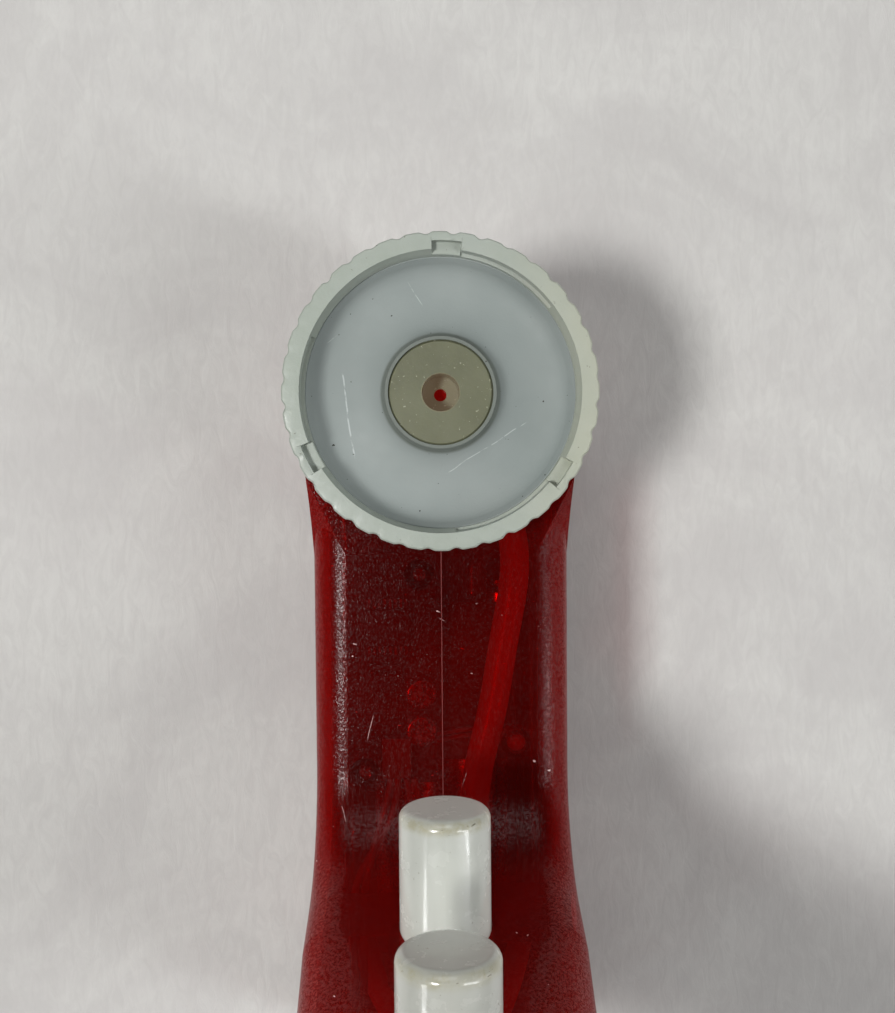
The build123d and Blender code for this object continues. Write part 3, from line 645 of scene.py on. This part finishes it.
def ring_section(angle):
    """Radius and height pairs round the ring's section at one angle, in millimetres."""
    top = rim_z / MM
    low = ring_low.z / MM
    edge = ring_radius_mm - flute_depth(angle)
    rim = [(edge - 0.85, top), (edge - 0.3, top - 0.1), (edge - 0.08, top - 0.35), (edge, top - 0.9)]
    skirt = [(edge, low + 0.9), (edge - 0.15, low + 0.3), (edge - 0.6, low), (SKIRT_BORE_MM, low)]
    undercut = [
        (SKIRT_BORE_MM, UNDERCUT_LOW_MM),
        (UNDERCUT_RADIUS_MM, UNDERCUT_LOW_MM),
        (UNDERCUT_RADIUS_MM, UNDERCUT_HIGH_MM),
        (DISH_BORE_MM - 0.05, UNDERCUT_HIGH_MM),
    ]
    return rim + skirt + undercut + ring_bore(angle, top)[::-1]


def knurled_ring(material):
    """The ring with its uneven flutes, softened rim, notches and the ledge behind each notch."""
    angles = ring_angles()
    vertices = []
    for angle in angles:
        turn = math.radians(angle)
        for radius, z in ring_section(angle):
            vertices.append((radius * math.cos(turn) * MM, radius * math.sin(turn) * MM, z * MM))
    faces = skin(len(angles), len(vertices) // len(angles), closed=True)
    piece = add_piece("knurled_ring_visual", vertices, faces, material, "ring")
    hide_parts("knurled_ring")


def seam_path():
    """Points along the joint between the shells, found on the shell from outside."""
    shell = frame["nodes"]["left_shell"]
    beside_joint = -0.05 * MM
    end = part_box("aspirate_button")[0].y + SEAM_END
    path = []
    y = ring_high.y - 1.5 * MM
    while y < end:
        hit, place, _, _ = shell.ray_cast((beside_joint, y, rim_z), (0, 0, -1))
        if hit:
            path.append(Vector((0, place.y, place.z)))
        y += SEAM_STEP
    return path


def seam(material):
    """Thin raised line where the shell halves meet, from the ring to the upper button."""
    section = (
        (-SEAM_HALF_WIDTH, -SEAM_HEIGHT),
        (-SEAM_HALF_WIDTH * 0.6, SEAM_HEIGHT),
        (SEAM_HALF_WIDTH * 0.6, SEAM_HEIGHT),
        (SEAM_HALF_WIDTH, -SEAM_HEIGHT),
    )
    path = seam_path()
    vertices = [point + Vector((x, 0, z)) for point in path for x, z in section]
    faces = skin(len(path), len(section))
    piece = add_piece("shell_seam", vertices, faces, material, "body")


def coil_points(low, high):
    """Rings of points round a wire wound along Y to fill a box."""
    centre = (low + high) / 2
    radius = (high.x - low.x) / 2 - WIRE_RADIUS
    length = high.y - low.y - 2 * WIRE_RADIUS
    steps = SPRING_TURNS * STEPS_PER_TURN
    points = []
    for i in range(steps + 1):
        turn = 2 * math.pi * SPRING_TURNS * i / steps
        outward = Vector((math.cos(turn), 0, math.sin(turn)))
        y = low.y + WIRE_RADIUS + length * i / steps
        middle = Vector((centre.x, y, centre.z)) + radius * outward
        for k in range(WIRE_SIDES):
            around = 2 * math.pi * k / WIRE_SIDES
            side = math.cos(around) * outward + Vector((0, math.sin(around), 0))
            points.append(middle + WIRE_RADIUS * side)
    return points


def coil(name, material):
    """A return spring, wound to fill the box of its CAD node."""
    low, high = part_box(name)
    vertices = coil_points(low, high)
    faces = skin(len(vertices) // WIRE_SIDES, WIRE_SIDES)
    piece = add_piece(name + "_visual", vertices, faces, material, "body", 60.0)
    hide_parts(name)
    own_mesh(piece)


# ------------------------------------------------------------ floor, light, camera

def paper_floor():
    """Pale paper with broad soft patches and fine fibres."""
    g = Graph("paper_floor", 0.85)
    fibres = g.noise(420, 5, 0.7, 1.2, g.stretch(1.0, 0.35, 1.0))
    broad = g.ramp(g.noise(22, 5, 0.65, 0.8), 0.35, 0.65)
    colour = g.blend(broad, srgb(206, 205, 202), srgb(196, 194, 192))
    fine = g.ramp(fibres, 0.3, 0.7, 0.0, 0.45)
    g.put("Base Color", g.blend(fine, colour, srgb(186, 184, 182)))
    g.bump(fibres, 0.1 * MM)
    return g.material


def floor():
    """A wide sheet at the height of the part's lowest point."""
    z = cad_box[0][2]
    signs = ((-1, -1), (1, -1), (1, 1), (-1, 1))
    corners = [(x * FLOOR_HALF, y * FLOOR_HALF, z) for x, y in signs]
    mesh = bpy.data.meshes.new("floor")
    mesh.from_pydata(corners, [], [(0, 1, 2, 3)])
    mesh.materials.append(paper_floor())
    plane = bpy.data.objects.new("floor", mesh)
    bpy.context.scene.collection.objects.link(plane)


def area_light(name, place, target, size, power, colour):
    """A rectangular light at a place, facing a target."""
    lamp = bpy.data.lights.new(name, "AREA")
    lamp.shape = "RECTANGLE"
    lamp.size, lamp.size_y = size
    lamp.energy = power
    lamp.color = colour
    obj = bpy.data.objects.new(name, lamp)
    obj.location = place
    obj.rotation_euler = (target - place).to_track_quat("-Z", "Y").to_euler()
    bpy.context.scene.collection.objects.link(obj)


def light():
    """Key light and a small lamp on the picture's left (+X), a window on its right, and two soft walls."""
    lights = {
        "key": ((0.54, 0.12, 1.06), (0.2, 0.2), 10.2, KEY_WHITE),
        "window": ((-0.68, 0.26, 0.7), (0.16, 0.6), 3.2, WINDOW_WHITE),
        "lamp": ((0.72, 0.46, 0.56), (0.12, 0.16), 0.6, LAMP_WHITE),
        "far_wall": ((-0.95, 0.1, 0.22), (0.5, 0.8), 1.3, WALL_WHITE),
        "wall": ((0.1, -0.85, 0.85), (0.8, 0.8), 3.4, WALL_WHITE),
    }
    middle = Vector((0.0, 0.03, rim_z))
    for name, (offset, size, power, colour) in lights.items():
        area_light(name, middle + Vector(offset), middle, size, power, colour)


def studio_air():
    """Even light from all round, except for a dark patch straight overhead, behind a pale backdrop."""
    world = bpy.data.worlds.new("studio")
    world.use_nodes = True
    air = Tree(world.node_tree)
    direction = air.new("ShaderNodeSeparateXYZ")
    air.join(air.new("ShaderNodeTexCoord").outputs["Generated"], direction.inputs[0])
    around = air.ramp(direction.outputs["Z"], 0.8, 0.93, AIR_STRENGTH, OVERHEAD_STRENGTH)
    seen = air.new("ShaderNodeLightPath").outputs["Is Camera Ray"]
    backdrop = air.times(seen, BACKDROP_STRENGTH)
    background = world.node_tree.nodes["Background"]
    air.feed(background.inputs["Strength"], air.combine("MAXIMUM", around, backdrop))
    air.feed(background.inputs["Color"], WALL_WHITE)
    bpy.context.scene.world = world


def camera():
    """Looks down the nosepiece axis, with the picture's top towards -Y, held a little off true."""
    data = bpy.data.cameras.new("camera")
    data.sensor_fit = "AUTO"
    data.sensor_width = SENSOR_MM
    data.lens = LENS_MM
    data.clip_start = 10 * MM
    obj = bpy.data.objects.new("camera", data)
    turn = Matrix.Rotation(math.pi - CAMERA_ROLL, 4, "Z")
    pitch = Matrix.Rotation(-CAMERA_PITCH, 4, "X")
    yaw = Matrix.Rotation(-CAMERA_YAW, 4, "Y")
    place = Vector((CAMERA_SIDE, CAMERA_BACK, rim_z + CAMERA_ABOVE_RIM))
    obj.matrix_world = Matrix.Translation(place) @ turn @ pitch @ yaw
    bpy.context.scene.collection.objects.link(obj)
    bpy.context.scene.camera = obj


def picture():
    """Plain colours, less noise, and enough bounces to see through the shells."""
    scene = bpy.context.scene
    scene.view_settings.view_transform = "Standard"
    scene.cycles.use_denoising = True
    scene.cycles.transparent_max_bounces = 12


materials = by_slot()
dress_nodes(materials)
knurled_ring(materials["ring_plastic"])
seam(seam_red())
for button in ("aspirate", "dispense"):
    coil(f"{button}_spring", materials["steel"])
floor()
light()
studio_air()
camera()
picture()
